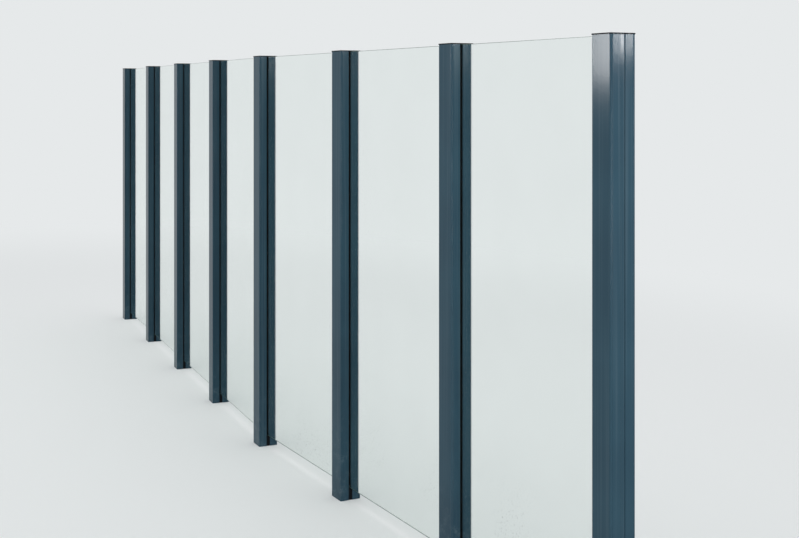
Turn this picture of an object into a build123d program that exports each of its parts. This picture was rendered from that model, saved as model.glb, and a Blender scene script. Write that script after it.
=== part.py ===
# Glass windbreak screen: slotted aluminium posts that hold clear panes along a planted bed.
# +Z is up and the garden side is -Y. The origin is at ground level in the middle of the bend post.
import os
from math import cos, radians, sin

from build123d import *

# Row, counted from the near end
near_bays = 3
far_bays = 4
bay_pitch = 700.0
bend_angle = 5.8

# Post extrusion
post_width = 70.0
post_height = 1447.0
post_wall = 2.2
corner_radius = 3.5
groove_inset = 3.8
groove_width = 2.8
groove_depth = 0.8
channel_depth = 17.0
channel_wall = 2.2
channel_lip = 0.8
clip_inset = 7.0
clip_height = 2.5
clip_depth = 0.8
web_thickness = 2.4

# Cap
cap_thickness = 3.0
cap_overhang = 0.8
cap_corner = 2.5
cap_edge = 0.6
lug_depth = 14.0
lug_wall = 2.0
lug_clearance = 0.3

# Pane and what seats it
glass_thickness = 8.0
glass_top_drop = 1.0
glass_ground_gap = 40.0
glass_corner = 3.0
glass_arris = 1.0
gasket_wall = 2.5
gasket_base = 2.0
gasket_recess = 1.5
gasket_lip = 0.8

# Cover strip in the open slot of an end post
cover_recess = 2.5
cover_web = 1.6
cover_leg = 9.0
cover_wall = 1.4

# Sizes that follow
post_half = post_width / 2
channel_width = glass_thickness + 2 * gasket_wall
channel_half_outer = channel_width / 2 + channel_wall
channel_floor = post_half - channel_depth
insertion = channel_depth - gasket_base
seat = post_half - insertion / 2
pane_length = bay_pitch - post_width + 2 * insertion
pane_bottom = glass_ground_gap
pane_top = post_height - glass_top_drop
groove_middle = post_half - groove_inset - groove_width / 2
groove_radius = (groove_width**2 / 4 + groove_depth**2) / (2 * groove_depth)
clip_middle = post_half - clip_inset - clip_height / 2
clip_width = channel_width + 2 * clip_depth

post_count = near_bays + far_bays + 1
bend_post = near_bays + 1
near_axis = Vector(1, 0)
far_axis = Vector(cos(radians(bend_angle)), -sin(radians(bend_angle)))
bend_axis = Vector(cos(radians(bend_angle / 2)), -sin(radians(bend_angle / 2)))

os.makedirs("parts", exist_ok=True)


def row_plane(steps):
    """Plane at ground level, steps bays from the bend post, with its x axis towards the near end."""
    if steps > 0:
        centre, axis = bend_axis * seat + near_axis * (steps * bay_pitch - seat), near_axis
    elif steps < 0:
        centre, axis = bend_axis * -seat + far_axis * (steps * bay_pitch + seat), far_axis
    else:
        centre, axis = Vector(0, 0), bend_axis
    return Plane(origin=centre, x_dir=axis, z_dir=(0, 0, 1))


def post_plane(number):
    return row_plane(bend_post - number)


def bay_plane(number):
    return row_plane(bend_post - number - 0.5)


def save(piece, name):
    piece.part.label = name
    export_step(piece.part, f"parts/{name}.step")


def on_end(side, distance):
    """Place on one slotted face with its x axis pointing out of the post; side is 1 near, -1 far."""
    return Location((side * distance, 0, 0), (0, 0, 0 if side > 0 else 180))


def on_both_ends(distance):
    return Locations(on_end(1, distance), on_end(-1, distance))


# Posts: one hollow extrusion with a glazing channel in each end face
def post_section():
    RectangleRounded(post_width, post_width, corner_radius)
    hollow = post_width - 2 * post_wall
    RectangleRounded(hollow, hollow, corner_radius - post_wall, mode=Mode.SUBTRACT)
    Rectangle(2 * channel_floor, web_thickness)
    boss_depth = groove_depth + post_wall
    with on_both_ends(post_half - channel_depth - channel_wall):
        Rectangle(channel_depth + channel_wall - post_wall / 2, 2 * channel_half_outer,
                  align=(Align.MIN, Align.CENTER))
    boss_width = post_half - post_wall / 2 - groove_middle + groove_width / 2 + post_wall
    for side in (-1, 1):
        with on_both_ends(post_half - boss_depth):
            with Locations((0, side * (post_half - post_wall / 2 - boss_width / 2))):
                Rectangle(boss_depth - post_wall / 2, boss_width, align=(Align.MIN, Align.CENTER))
        with on_both_ends(post_half + groove_radius - groove_depth):
            with Locations((0, side * groove_middle)):
                Circle(groove_radius, mode=Mode.SUBTRACT)
    mouth = channel_width / 2
    with on_both_ends(clip_middle):
        Rectangle(clip_height, clip_width, mode=Mode.SUBTRACT)
    with on_both_ends(post_half):
        Rectangle(channel_depth, channel_width, align=(Align.MAX, Align.CENTER), mode=Mode.SUBTRACT)
        Polygon((0, mouth + channel_lip), (-channel_lip, mouth), (-channel_lip, -mouth),
                (0, -mouth - channel_lip), align=None, mode=Mode.SUBTRACT)


with BuildSketch() as section:
    post_section()

for number in range(1, post_count + 1):
    with BuildPart() as post:
        with BuildSketch(post_plane(number)):
            add(section.sketch)
        extrude(amount=post_height)
    save(post, f"post_{number}")

# Caps: a thin plate with two plugs that drop into the hollows beside the web
lug_length = post_width - 2 * (groove_depth + post_wall + lug_clearance)
hollow_width = post_half - post_wall - channel_half_outer
lug_width = hollow_width - 2 * lug_clearance
lug_middle = channel_half_outer + hollow_width / 2
cap_width = post_width + 2 * cap_overhang

for number in range(1, post_count + 1):
    top = post_plane(number).offset(post_height)
    with BuildPart() as cap:
        with BuildSketch(top):
            RectangleRounded(cap_width, cap_width, cap_corner)
        extrude(amount=cap_thickness)
        chamfer(cap.edges().group_by(Axis.Z)[-1], cap_edge)
        with BuildSketch(top):
            with Locations((0, lug_middle), (0, -lug_middle)):
                Rectangle(lug_length, lug_width)
                Rectangle(lug_length - 2 * lug_wall, lug_width - 2 * lug_wall, mode=Mode.SUBTRACT)
        extrude(amount=-lug_depth)
    save(cap, f"cap_{number}")


# Panes, with the gaskets and the packers that seat them in the two channels of a bay
def liner(plane, side):
    """Solid gasket in one channel, with rounded outer lips and clips in the channel's notches."""
    with BuildPart() as fill:
        with BuildSketch(plane.offset(pane_bottom)) as outline:
            with Locations(on_end(side, channel_floor)):
                Rectangle(channel_depth - gasket_recess, channel_width, align=(Align.MIN, Align.CENTER))
            fillet(outline.vertices().sort_by(lambda corner: side * corner.X)[-2:], gasket_lip)
            with Locations(on_end(side, clip_middle)):
                Rectangle(clip_height, clip_width)
        extrude(amount=pane_top - pane_bottom)
    return fill.part


for number in range(1, post_count):
    plane = bay_plane(number)
    middle = plane.origin + Vector(0, 0, (pane_bottom + pane_top) / 2)
    with BuildPart() as pane:
        with BuildSketch(Plane(origin=middle, x_dir=plane.x_dir, z_dir=-plane.y_dir)):
            RectangleRounded(pane_length, pane_top - pane_bottom, glass_corner)
        extrude(amount=glass_thickness / 2, both=True)
        chamfer(pane.faces().sort_by(SortBy.AREA)[-2:].edges(), glass_arris)
    save(pane, f"glass_{number}")

    seats = ((post_plane(number), -1), (post_plane(number + 1), 1))
    with BuildPart() as gasket:
        for seat_plane, side in seats:
            add(liner(seat_plane, side))
        add(pane.part, mode=Mode.SUBTRACT)
    save(gasket, f"gasket_{number}")

    with BuildPart() as block:
        for seat_plane, side in seats:
            with BuildSketch(seat_plane):
                with Locations(on_end(side, channel_floor)):
                    Rectangle(channel_depth - gasket_recess, channel_width,
                              align=(Align.MIN, Align.CENTER))
        extrude(amount=pane_bottom)
    save(block, f"glass_block_{number}")

# Cover strips: a shallow channel clipped into the slot that holds no pane
for name, number, side in (("near", 1, 1), ("far", post_count, -1)):
    with BuildPart() as cover:
        with BuildSketch(post_plane(number)):
            with Locations(on_end(side, post_half - cover_recess)):
                Rectangle(cover_leg, channel_width, align=(Align.MAX, Align.CENTER))
            with Locations(on_end(side, clip_middle)):
                Rectangle(clip_height, clip_width)
            with Locations(on_end(side, post_half - cover_recess - cover_web)):
                Rectangle(cover_leg - cover_web, channel_width - 2 * cover_wall,
                          align=(Align.MAX, Align.CENTER), mode=Mode.SUBTRACT)
        extrude(amount=post_height)
    save(cover, f"slot_cover_{name}")
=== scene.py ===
import math

import bpy
import mathutils
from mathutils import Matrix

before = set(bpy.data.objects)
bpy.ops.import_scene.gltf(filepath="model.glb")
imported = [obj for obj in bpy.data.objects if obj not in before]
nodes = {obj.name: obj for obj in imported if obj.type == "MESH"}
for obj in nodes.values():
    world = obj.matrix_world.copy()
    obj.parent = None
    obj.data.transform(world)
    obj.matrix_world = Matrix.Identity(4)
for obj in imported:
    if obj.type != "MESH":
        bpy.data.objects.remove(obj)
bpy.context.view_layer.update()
print("loaded", len(nodes), "nodes")

# camera: where the photograph was taken from, read off its 799 x 538 frame
cameraView = {
    "frameWidth": 799, "frameHeight": 538,   # pixels
    "focalPixels": 1256.5,
    "horizonRow": 91.0,                      # pixel row at eye level
    "place": (4.385, -1.770, 1.319),         # metres; eye level is 131 mm under the tops of the caps
    "turn": 61.92,                           # degrees to the left of +Y
    "sensor": 36.0,                          # mm
    "nearest": 0.05, "furthest": 200.0,      # metres
}


def placeCamera(view):
    turn = (math.radians(90), 0, math.radians(view["turn"]))   # a camera turned by 90 degrees looks level
    bpy.ops.object.camera_add(location=view["place"], rotation=turn)
    camera = bpy.context.object
    camera.data.sensor_width = view["sensor"]
    camera.data.lens = view["sensor"] * view["focalPixels"] / view["frameWidth"]
    camera.data.shift_y = (view["horizonRow"] - view["frameHeight"] / 2) / view["frameWidth"]
    camera.data.clip_start = view["nearest"]
    camera.data.clip_end = view["furthest"]
    bpy.context.scene.camera = camera


placeCamera(cameraView)
print("camera placed")


# turns an sRGB hex colour into the linear one that a node takes
def hexColour(code):
    channels = [int(code[i:i + 2], 16) / 255 for i in (1, 3, 5)]
    linear = [c / 12.92 if c <= 0.04045 else ((c + 0.055) / 1.055) ** 2.4 for c in channels]
    return (*linear, 1.0)


def newMaterial(name):
    material = bpy.data.materials.new(name)
    material.use_nodes = True
    material.node_tree.nodes.clear()
    return material


# adds a node; an input that is given a socket is linked to it, and one that is given a value is set
# a Mix node of type RGBA takes its two colours in sockets 6 and 7, and gives the mixed one in socket 2
def addNode(owner, kind, inputs, **settings):
    node = owner.node_tree.nodes.new(kind)
    for name, value in settings.items():
        setattr(node, name, value)
    for name, value in inputs.items():
        if isinstance(value, bpy.types.NodeSocket):
            owner.node_tree.links.new(value, node.inputs[name])
        else:
            node.inputs[name].default_value = value
    return node


# powder-coated aluminium: polyester powder sprayed on an extrusion and stoved
# the eye sees a dark blue grey with a soft mirror in it, faint die lines and orange peel under the gloss,
# thin streaks where rain has run down, and patches of soil where it has splashed up from the bed
powderCoat = {
    "name": "satinPowderCoat",
    "colour": "#283F4B", "shade": "#243945", "dust": "#8E9CA2",
    # the gloss is kept low, because faces seen at a slant otherwise turn grey in the pale room
    "roughness": 0.14, "dustRoughness": 0.70, "ior": 1.5, "specular": 0.07,
    # sizes, here and in the finishes below, are in metres
    "cloudSize": 0.30, "cloudRange": (0.35, 0.65), "cloudDetail": 3.0,
    # the real peel is about 1.5 mm and too fine to show, so it is drawn coarser
    "peelPitch": 0.004, "peelDepth": 0.00003, "peelDetail": 2.0,
    "linePitch": 0.0025, "lineLength": 2.0, "lineDepth": 0.00001, "lineDetail": 1.0,
    "streakWidth": 0.006, "streakLength": 0.8, "streakRange": (0.48, 0.75), "streakDetail": 2.0,
    "streakDust": 0.05,
    "splashHeight": 0.35,                          # how high rain throws soil from the bed
    "patchSize": 0.030, "patchRange": (0.46, 0.66), "patchDetail": 3.0,
    "speckSize": 0.006, "speckRange": (0.40, 0.68), "speckDetail": 3.0, "speckCrispness": 0.7,
    "splashDust": 0.16,
}
# the cover strips are coated on their own and come out smoother than the posts
stripCoat = {**powderCoat, "name": "smoothPowderCoat", "roughness": 0.12, "specular": 0.10}


def makePowderCoat(look):
    material = newMaterial(look["name"])
    place = addNode(material, "ShaderNodeTexCoord", {}).outputs["Object"]
    height = addNode(material, "ShaderNodeSeparateXYZ", {"Vector": place}).outputs["Z"]

    # the coat itself, a little uneven in depth
    thin, thick = look["cloudRange"]
    cloud = addNode(material, "ShaderNodeTexNoise", {
        "Vector": place, "Scale": 1 / look["cloudSize"], "Detail": look["cloudDetail"]})
    depth = addNode(material, "ShaderNodeMapRange", {
        "Value": cloud.outputs["Fac"], "From Min": thin, "From Max": thick})
    paint = addNode(material, "ShaderNodeMix", {
        "Factor": depth.outputs["Result"], 6: hexColour(look["shade"]), 7: hexColour(look["colour"])},
        data_type="RGBA")

    # dust that rain has drawn down the faces
    clean, dusty = look["streakRange"]
    tall = addNode(material, "ShaderNodeMapping", {"Vector": place, "Scale": (
        1 / look["streakWidth"], 1 / look["streakWidth"], 1 / look["streakLength"])})
    runs = addNode(material, "ShaderNodeTexNoise", {
        "Vector": tall.outputs["Vector"], "Scale": 1.0, "Detail": look["streakDetail"]})
    streaks = addNode(material, "ShaderNodeMapRange", {
        "Value": runs.outputs["Fac"], "From Min": clean, "From Max": dusty,
        "To Max": look["streakDust"]})

    # soil splashed on the lowest part, in patches made of specks
    low = addNode(material, "ShaderNodeMapRange", {
        "Value": height, "From Max": look["splashHeight"], "To Min": 1.0, "To Max": 0.0},
        interpolation_type="SMOOTHSTEP")
    clean, dusty = look["patchRange"]
    patch = addNode(material, "ShaderNodeTexNoise", {
        "Vector": place, "Scale": 1 / look["patchSize"], "Detail": look["patchDetail"]})
    patches = addNode(material, "ShaderNodeMapRange", {
        "Value": patch.outputs["Fac"], "From Min": clean, "From Max": dusty})
    clean, dusty = look["speckRange"]
    speck = addNode(material, "ShaderNodeTexNoise", {
        "Vector": place, "Scale": 1 / look["speckSize"], "Detail": look["speckDetail"],
        "Roughness": look["speckCrispness"]})
    specks = addNode(material, "ShaderNodeMapRange", {
        "Value": speck.outputs["Fac"], "From Min": clean, "From Max": dusty,
        "To Max": look["splashDust"]})
    soiled = addNode(material, "ShaderNodeMath", {
        0: low.outputs["Result"], 1: patches.outputs["Result"]}, operation="MULTIPLY")
    splash = addNode(material, "ShaderNodeMath", {
        0: soiled.outputs[0], 1: specks.outputs["Result"]}, operation="MULTIPLY")

    dirt = addNode(material, "ShaderNodeMath", {
        0: splash.outputs[0], 1: streaks.outputs["Result"]}, operation="MAXIMUM").outputs[0]
    colour = addNode(material, "ShaderNodeMix", {
        "Factor": dirt, 6: paint.outputs[2], 7: hexColour(look["dust"])}, data_type="RGBA")
    rough = addNode(material, "ShaderNodeMapRange", {
        "Value": dirt, "To Min": look["roughness"], "To Max": look["dustRoughness"]})

    # die lines along the extrusion, and orange peel over them
    drawn = addNode(material, "ShaderNodeMapping", {"Vector": place, "Scale": (
        1 / look["linePitch"], 1 / look["linePitch"], 1 / look["lineLength"])})
    lines = addNode(material, "ShaderNodeTexNoise", {
        "Vector": drawn.outputs["Vector"], "Scale": 1.0, "Detail": look["lineDetail"]})
    lined = addNode(material, "ShaderNodeBump", {
        "Height": lines.outputs["Fac"], "Strength": 1.0, "Distance": look["lineDepth"]})
    peel = addNode(material, "ShaderNodeTexNoise", {
        "Vector": place, "Scale": 1 / look["peelPitch"], "Detail": look["peelDetail"]})
    peeled = addNode(material, "ShaderNodeBump", {
        "Height": peel.outputs["Fac"], "Strength": 1.0, "Distance": look["peelDepth"],
        "Normal": lined.outputs["Normal"]})
    shader = addNode(material, "ShaderNodeBsdfPrincipled", {
        "Base Color": colour.outputs[2], "Roughness": rough.outputs["Result"], "Metallic": 0.0,
        "Normal": peeled.outputs["Normal"], "IOR": look["ior"], "Specular IOR Level": look["specular"]})
    addNode(material, "ShaderNodeOutputMaterial", {"Surface": shader.outputs["BSDF"]})
    return material


# moulded nylon: black, with the fine grain of its mould
# the eye sees a dull dark plastic, grey with settled dust where it faces up
mouldedNylon = {
    "colour": "#080B0E", "dust": "#6C7880",
    "roughness": 0.60, "dustRoughness": 0.8, "ior": 1.5, "specular": 0.06,
    # the real grain is about 0.5 mm and too fine to show, so it is drawn coarser
    "grainPitch": 0.002, "grainDepth": 0.00003, "grainDetail": 2.0,
    "levelRange": (0.85, 1.0),                     # dust stays where a face is this near to level
    "dustPitch": 0.015, "dustRange": (0.35, 0.70), "dustDetail": 5.0, "dustCrispness": 0.6,
    "dustCover": (0.06, 0.25),
}


def makeMouldedNylon(look):
    material = newMaterial("mouldedNylon")
    place = addNode(material, "ShaderNodeTexCoord", {}).outputs["Object"]
    facing = addNode(material, "ShaderNodeNewGeometry", {}).outputs["Normal"]
    upward = addNode(material, "ShaderNodeSeparateXYZ", {"Vector": facing}).outputs["Z"]

    # settled dust
    sloping, flat = look["levelRange"]
    level = addNode(material, "ShaderNodeMapRange", {
        "Value": upward, "From Min": sloping, "From Max": flat})
    clean, dusty = look["dustRange"]
    least, most = look["dustCover"]
    settled = addNode(material, "ShaderNodeTexNoise", {
        "Vector": place, "Scale": 1 / look["dustPitch"], "Detail": look["dustDetail"],
        "Roughness": look["dustCrispness"]})
    cover = addNode(material, "ShaderNodeMapRange", {
        "Value": settled.outputs["Fac"], "From Min": clean, "From Max": dusty,
        "To Min": least, "To Max": most})
    dust = addNode(material, "ShaderNodeMath", {
        0: level.outputs["Result"], 1: cover.outputs["Result"]}, operation="MULTIPLY").outputs[0]
    colour = addNode(material, "ShaderNodeMix", {
        "Factor": dust, 6: hexColour(look["colour"]), 7: hexColour(look["dust"])}, data_type="RGBA")
    rough = addNode(material, "ShaderNodeMapRange", {
        "Value": dust, "From Max": most, "To Min": look["roughness"], "To Max": look["dustRoughness"]})

    grain = addNode(material, "ShaderNodeTexNoise", {
        "Vector": place, "Scale": 1 / look["grainPitch"], "Detail": look["grainDetail"]})
    bump = addNode(material, "ShaderNodeBump", {
        "Height": grain.outputs["Fac"], "Strength": 1.0, "Distance": look["grainDepth"]})
    shader = addNode(material, "ShaderNodeBsdfPrincipled", {
        "Base Color": colour.outputs[2], "Roughness": rough.outputs["Result"], "Metallic": 0.0,
        "Normal": bump.outputs["Normal"], "IOR": look["ior"], "Specular IOR Level": look["specular"]})
    addNode(material, "ShaderNodeOutputMaterial", {"Surface": shader.outputs["BSDF"]})
    return material


# extruded EPDM rubber: soft black gasket
# the eye sees a matt black line in the slot, with a weak grey bloom here and there
rubber = {
    "colour": "#050607", "bloom": "#0F1215",
    "roughness": 0.60, "bloomRoughness": 0.85, "ior": 1.5, "specular": 0.08,
    "bloomWidth": 0.03, "bloomLength": 0.25, "bloomRange": (0.40, 0.75), "bloomDetail": 3.0,
    "bloomCover": 0.6,
}


def makeRubber(look):
    material = newMaterial("extrudedRubber")
    place = addNode(material, "ShaderNodeTexCoord", {}).outputs["Object"]
    along = addNode(material, "ShaderNodeMapping", {"Vector": place, "Scale": (
        1 / look["bloomWidth"], 1 / look["bloomWidth"], 1 / look["bloomLength"])})
    black, grey = look["bloomRange"]
    patches = addNode(material, "ShaderNodeTexNoise", {
        "Vector": along.outputs["Vector"], "Scale": 1.0, "Detail": look["bloomDetail"]})
    bloom = addNode(material, "ShaderNodeMapRange", {
        "Value": patches.outputs["Fac"], "From Min": black, "From Max": grey,
        "To Max": look["bloomCover"]})
    colour = addNode(material, "ShaderNodeMix", {
        "Factor": bloom.outputs["Result"], 6: hexColour(look["colour"]), 7: hexColour(look["bloom"])},
        data_type="RGBA")
    rough = addNode(material, "ShaderNodeMapRange", {
        "Value": bloom.outputs["Result"], "From Max": look["bloomCover"],
        "To Min": look["roughness"], "To Max": look["bloomRoughness"]})
    shader = addNode(material, "ShaderNodeBsdfPrincipled", {
        "Base Color": colour.outputs[2], "Roughness": rough.outputs["Result"], "Metallic": 0.0,
        "IOR": look["ior"], "Specular IOR Level": look["specular"]})
    addNode(material, "ShaderNodeOutputMaterial", {"Surface": shader.outputs["BSDF"]})
    return material


# clear toughened float glass, 8 mm, with ground edges
# the eye looks straight through it, and sees a green edge, a breath of dust and dried drops near the bed
floatGlass = {
    "colour": "#FFFFFF", "ior": 1.52, "shadowTint": "#F8FBFA",
    "depthColour": (0.45, 0.70, 0.60, 1.0), "depthDensity": 14.0,   # linear, and per metre of glass
    "edgeColour": "#8FB8A8", "edgeRoughness": 0.22, "edgeFrost": 0.35, "frostRoughness": 0.6,
    "faceRange": (0.90, 0.97),                     # a face that points this far along Y is polished
    "dust": "#AEB8B8", "dustRoughness": 0.85, "film": 0.012,
    "cloudSize": 0.20, "cloudRange": (0.35, 0.75), "cloudDetail": 4.0,
    "dropPitch": 0.012, "dropRange": (0.10, 0.24), "dropDust": 0.25,
    "dropCloud": (0.45, 0.60),                     # drops stand in clouds, with clean glass between
    "splashFrom": 0.04, "splashHeight": 0.45, "dropsAbove": 0.04,
}


def makeFloatGlass(look):
    material = newMaterial("clearFloatGlass")
    place = addNode(material, "ShaderNodeTexCoord", {}).outputs["Object"]
    height = addNode(material, "ShaderNodeSeparateXYZ", {"Vector": place}).outputs["Z"]
    facing = addNode(material, "ShaderNodeNewGeometry", {}).outputs["Normal"]

    # 1 on the ground edges and 0 on the two polished faces
    across = addNode(material, "ShaderNodeSeparateXYZ", {"Vector": facing}).outputs["Y"]
    turned = addNode(material, "ShaderNodeMath", {0: across}, operation="ABSOLUTE")
    edge, polished = look["faceRange"]
    ground = addNode(material, "ShaderNodeMapRange", {
        "Value": turned.outputs[0], "From Min": edge, "From Max": polished,
        "To Min": 1.0, "To Max": 0.0})

    # a thin film of dust
    clean, dusty = look["cloudRange"]
    cloud = addNode(material, "ShaderNodeTexNoise", {
        "Vector": place, "Scale": 1 / look["cloudSize"], "Detail": look["cloudDetail"]})
    film = addNode(material, "ShaderNodeMapRange", {
        "Value": cloud.outputs["Fac"], "From Min": clean, "From Max": dusty, "To Max": look["film"]})

    # dried drops near the bed
    middle, rim = look["dropRange"]
    drop = addNode(material, "ShaderNodeTexVoronoi", {
        "Vector": place, "Scale": 1 / look["dropPitch"]}, feature="F1")
    drops = addNode(material, "ShaderNodeMapRange", {
        "Value": drop.outputs["Distance"], "From Min": middle, "From Max": rim,
        "To Min": look["dropDust"], "To Max": 0.0})
    low = addNode(material, "ShaderNodeMapRange", {
        "Value": height, "From Min": look["splashFrom"], "From Max": look["splashHeight"],
        "To Min": 1.0, "To Max": look["dropsAbove"]}, interpolation_type="SMOOTHSTEP")
    clean, wetted = look["dropCloud"]
    showing = addNode(material, "ShaderNodeMapRange", {
        "Value": cloud.outputs["Fac"], "From Min": clean, "From Max": wetted})
    fallen = addNode(material, "ShaderNodeMath", {
        0: drops.outputs["Result"], 1: low.outputs["Result"]}, operation="MULTIPLY")
    spots = addNode(material, "ShaderNodeMath", {
        0: fallen.outputs[0], 1: showing.outputs["Result"]}, operation="MULTIPLY")
    dirty = addNode(material, "ShaderNodeMath", {
        0: film.outputs["Result"], 1: spots.outputs[0]}, operation="MAXIMUM")

    # the ground edge scatters a part of the light, and that part shows the glass's own green
    rough = addNode(material, "ShaderNodeMath", {
        0: ground.outputs["Result"], 1: look["edgeRoughness"]}, operation="MULTIPLY")
    frosted = addNode(material, "ShaderNodeMath", {
        0: ground.outputs["Result"], 1: look["edgeFrost"]}, operation="MULTIPLY")
    glass = addNode(material, "ShaderNodeBsdfPrincipled", {
        "Base Color": hexColour(look["colour"]), "Roughness": rough.outputs[0], "IOR": look["ior"],
        "Transmission Weight": 1.0})
    frost = addNode(material, "ShaderNodeBsdfPrincipled", {
        "Base Color": hexColour(look["edgeColour"]), "Roughness": look["frostRoughness"]})
    dirt = addNode(material, "ShaderNodeBsdfPrincipled", {
        "Base Color": hexColour(look["dust"]), "Roughness": look["dustRoughness"]})
    pane = addNode(material, "ShaderNodeMixShader", {
        0: frosted.outputs[0], 1: glass.outputs["BSDF"], 2: frost.outputs["BSDF"]})
    seen = addNode(material, "ShaderNodeMixShader", {
        0: dirty.outputs[0], 1: pane.outputs[0], 2: dirt.outputs["BSDF"]})

    # light passes straight through, so that the pane throws only a faint shadow
    clear = addNode(material, "ShaderNodeBsdfTransparent", {"Color": hexColour(look["shadowTint"])})
    shadowRay = addNode(material, "ShaderNodeLightPath", {}).outputs["Is Shadow Ray"]
    lit = addNode(material, "ShaderNodeMixShader", {
        0: shadowRay, 1: seen.outputs[0], 2: clear.outputs[0]})
    depth = addNode(material, "ShaderNodeVolumeAbsorption", {
        "Color": look["depthColour"], "Density": look["depthDensity"]})
    addNode(material, "ShaderNodeOutputMaterial", {
        "Surface": lit.outputs[0], "Volume": depth.outputs["Volume"]})
    return material


# post_1 to post_8 are all "post_", and so on
def kindOf(name):
    return name.rstrip("0123456789")


def dress(material, *kinds):
    for name, node in nodes.items():
        if kindOf(name) in kinds:
            node.data.materials.clear()
            node.data.materials.append(material)


dress(makePowderCoat(powderCoat), "post_")
dress(makePowderCoat(stripCoat), "slot_cover_near", "slot_cover_far")
dress(makeMouldedNylon(mouldedNylon), "cap_", "glass_block_")
dress(makeRubber(rubber), "gasket_")
dress(makeFloatGlass(floatGlass), "glass_")
print("finishes done")

# studio: pale floor that fades into a pale backdrop, a bright even room, and seven soft panels
studio = {
    "floorSize": 120.0, "floorColour": "#F0F2F2", "floorRoughness": 0.9, "floorSpecular": 0.2,
    # the floor turns pale over a distance measured shorter along the row than across it
    "fadeStretch": (0.55, 1.0, 1.0), "fadeEnd": 4.6, "floorPaleness": 0.20,
    "backdropColour": "#E6E9EA", "backdropStrength": 1.0,
    "roomLight": 0.57,
    "panels": {
        # lights the garden side
        "key": {"place": (3.2, -3.4, 2.45), "size": (2.0, 2.0), "power": 105.0,
                "target": (0.8, 0.0, 1.1), "lights": "screen"},
        # lights the end faces, from beside the camera
        "near": {"place": (5.2, -0.6, 0.9), "size": (1.0, 1.0), "power": 62.0,
                 "target": (2.1, 0.0, 0.7), "lights": "screen"},
        # stands where the near end face of the nearest post mirrors it, and no other end face does
        "side": {"place": (3.542, 1.119, 2.05), "size": (0.107, 1.2), "power": 37.0,
                 "target": (2.122, 0.019, 1.6), "lights": "screen"},
        # stands where only the garden face of the nearest post mirrors it, from just above eye level
        "strip": {"place": (-1.814, -3.179, 1.897), "size": (0.45, 1.02), "power": 62.0,
                  "target": (2.164, -0.150, 1.897), "lights": "screen"},
        # these two light the side away from the garden
        "back": {"place": (-0.6, 4.6, 2.8), "size": (3.0, 2.4), "power": 190.0,
                 "target": (-0.4, 0.0, 0.8), "lights": "screen"},
        "far": {"place": (-5.6, 2.2, 2.6), "size": (2.0, 2.0), "power": 120.0,
                "target": (-0.6, 0.0, 0.8), "lights": "screen"},
        # hangs over the whole row, so that the floor is even and keeps soft shadows
        "overhead": {"place": (-0.35, 0.0, 3.5), "size": (9.0, 5.0), "power": 125.0,
                     "target": (-0.35, 0.0, 0.0), "lights": "floor"},
    },
}


# 1 for the rays that show the studio, and 0 for those that only carry its light
def addSeenRays(owner):
    path = addNode(owner, "ShaderNodeLightPath", {}).outputs
    mirrored = addNode(owner, "ShaderNodeMath", {
        0: path["Is Glossy Ray"], 1: path["Is Transmission Ray"]}, operation="MAXIMUM")
    return addNode(owner, "ShaderNodeMath", {
        0: path["Is Camera Ray"], 1: mirrored.outputs[0]}, operation="MAXIMUM").outputs[0]


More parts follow.
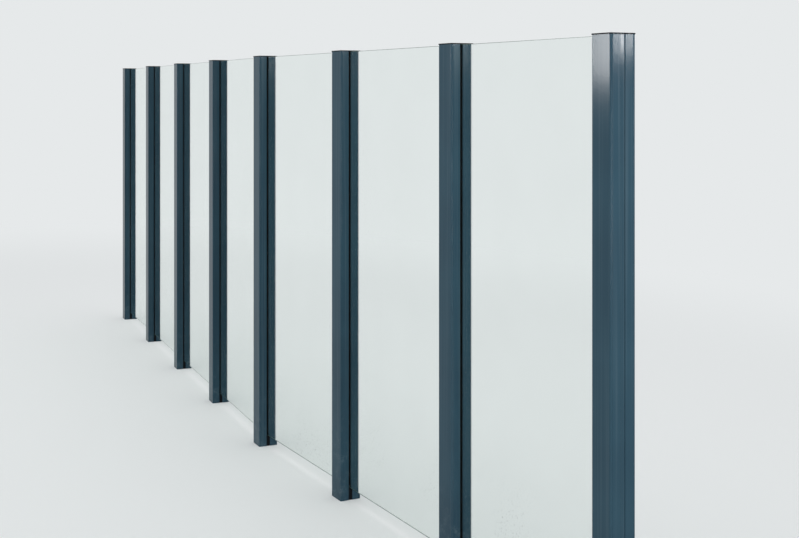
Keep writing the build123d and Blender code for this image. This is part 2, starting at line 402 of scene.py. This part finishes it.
def makeFloor(look):
    bpy.ops.object.select_all(action="DESELECT")
    bpy.ops.mesh.primitive_plane_add(size=look["floorSize"], location=(0, 0, 0))
    floor = bpy.context.object
    floor.name = "studioFloor"
    material = newMaterial("paleFloor")
    place = addNode(material, "ShaderNodeTexCoord", {}).outputs["Object"]
    stretched = addNode(material, "ShaderNodeMapping", {"Vector": place, "Scale": look["fadeStretch"]})
    distance = addNode(material, "ShaderNodeVectorMath", {
        0: stretched.outputs["Vector"]}, operation="LENGTH")
    away = addNode(material, "ShaderNodeMapRange", {
        "Value": distance.outputs["Value"], "From Max": look["fadeEnd"],
        "To Min": look["floorPaleness"]}, interpolation_type="SMOOTHSTEP")
    fade = addNode(material, "ShaderNodeMath", {
        0: away.outputs["Result"], 1: addSeenRays(material)}, operation="MULTIPLY")
    shader = addNode(material, "ShaderNodeBsdfPrincipled", {
        "Base Color": hexColour(look["floorColour"]), "Roughness": look["floorRoughness"],
        "Specular IOR Level": look["floorSpecular"]})
    backdrop = addNode(material, "ShaderNodeEmission", {
        "Color": hexColour(look["backdropColour"]), "Strength": look["backdropStrength"]})
    mixed = addNode(material, "ShaderNodeMixShader", {
        0: fade.outputs[0], 1: shader.outputs["BSDF"], 2: backdrop.outputs[0]})
    addNode(material, "ShaderNodeOutputMaterial", {"Surface": mixed.outputs[0]})
    floor.data.materials.append(material)
    return floor


def makeWorld(look):
    world = bpy.data.worlds.new("softRoom")
    bpy.context.scene.world = world
    world.use_nodes = True
    world.node_tree.nodes.clear()
    strength = addNode(world, "ShaderNodeMapRange", {
        "Value": addSeenRays(world), "To Min": look["roomLight"], "To Max": look["backdropStrength"]})
    background = addNode(world, "ShaderNodeBackground", {
        "Color": hexColour(look["backdropColour"]), "Strength": strength.outputs["Result"]})
    addNode(world, "ShaderNodeOutputWorld", {"Surface": background.outputs[0]})


def gather(name, pieces):
    group = bpy.data.collections.new(name)
    for piece in pieces:
        group.objects.link(piece)
    return group


def addPanel(name, panel, receivers):
    bpy.ops.object.light_add(type="AREA", location=panel["place"])
    lamp = bpy.context.object
    lamp.name = name
    lamp.data.shape = "RECTANGLE"
    lamp.data.size, lamp.data.size_y = panel["size"]
    lamp.data.energy = panel["power"]
    lamp.light_linking.receiver_collection = receivers
    way = mathutils.Vector(panel["target"]) - lamp.location
    lamp.rotation_euler = way.to_track_quat("-Z", "Y").to_euler()


floor = makeFloor(studio)
makeWorld(studio)

# the panes are left to the room's light, so that they mirror no panel
solidPieces = [node for name, node in nodes.items() if kindOf(name) != "glass_"]
litPieces = {"screen": gather("litScreen", solidPieces), "floor": gather("litFloor", [floor])}
for panelName, panel in studio["panels"].items():
    addPanel(panelName, panel, litPieces[panel["lights"]])
bpy.context.scene.view_settings.view_transform = "Standard"
print("studio lit")
